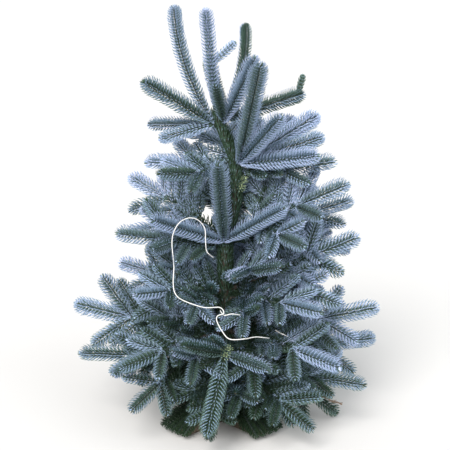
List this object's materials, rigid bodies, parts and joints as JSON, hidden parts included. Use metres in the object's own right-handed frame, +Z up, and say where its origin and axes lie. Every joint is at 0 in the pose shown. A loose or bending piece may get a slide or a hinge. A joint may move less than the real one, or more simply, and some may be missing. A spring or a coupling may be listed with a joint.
{
  "type": "christmas tree",
  "caption": "Small cut noble fir Christmas tree with thick blue-grey needled shoots, standing on a plain wooden cross stand.",
  "frame": {"origin": "on the ground under the trunk, in the middle of the flat underside of the stand", "axes": "+Z up along the tree, -Y the front of the tree, +X to its right as seen from the front"},
  "size_m": [0.762, 0.632, 1.0177],
  "materials": {
    "bark": "rough grey-brown fir bark",
    "needles": "waxy blue-grey needles",
    "stand_wood": "planed unfinished softwood"
  },
  "bodies": {
    "root": {"bough_low_back": "bark", "bough_low_back_left": "bark", "bough_low_far_right": "bark", "bough_low_front": "bark", "bough_low_front_right": "bark", "bough_low_left": "bark", "bough_low_right": "bark", "bough_lower_back": "bark", "bough_lower_back_left": "bark", "bough_lower_front": "bark", "bough_lower_front_left": "bark", "bough_lower_front_right": "bark", "bough_lower_left": "bark", "bough_lower_right": "bark", "bough_middle_back": "bark", "bough_middle_back_right": "bark", "bough_middle_front_left": "bark", "bough_middle_front_right": "bark", "bough_middle_left": "bark", "bough_middle_right": "bark", "needles_crown_back_left": "needles", "needles_crown_back_right": "needles", "needles_crown_front": "needles", "needles_crown_left": "needles", "needles_crown_low_left": "needles", "needles_crown_low_right": "needles", "needles_leader": "needles", "needles_low_back": "needles", "needles_low_back_left": "needles", "needles_low_far_right": "needles", "needles_low_front": "needles", "needles_low_front_right": "needles", "needles_low_left": "needles", "needles_low_right": "needles", "needles_lower_back": "needles", "needles_lower_back_left": "needles", "needles_lower_front": "needles", "needles_lower_front_left": "needles", "needles_lower_front_right": "needles", "needles_lower_left": "needles", "needles_lower_right": "needles", "needles_middle_back": "needles", "needles_middle_back_right": "needles", "needles_middle_front": "needles", "needles_middle_front_left": "needles", "needles_middle_front_right": "needles", "needles_middle_left": "needles", "needles_middle_right": "needles", "needles_top_back": "needles", "needles_top_front": "needles", "needles_top_left": "needles", "needles_upper_back": "needles", "needles_upper_back_right": "needles", "needles_upper_front": "needles", "needles_upper_left": "needles", "needles_upper_low_left": "needles", "needles_upper_right": "needles", "stand_lower_board": "stand_wood", "stand_upper_board": "stand_wood", "trunk": "bark"}
  },
  "joints": []
}
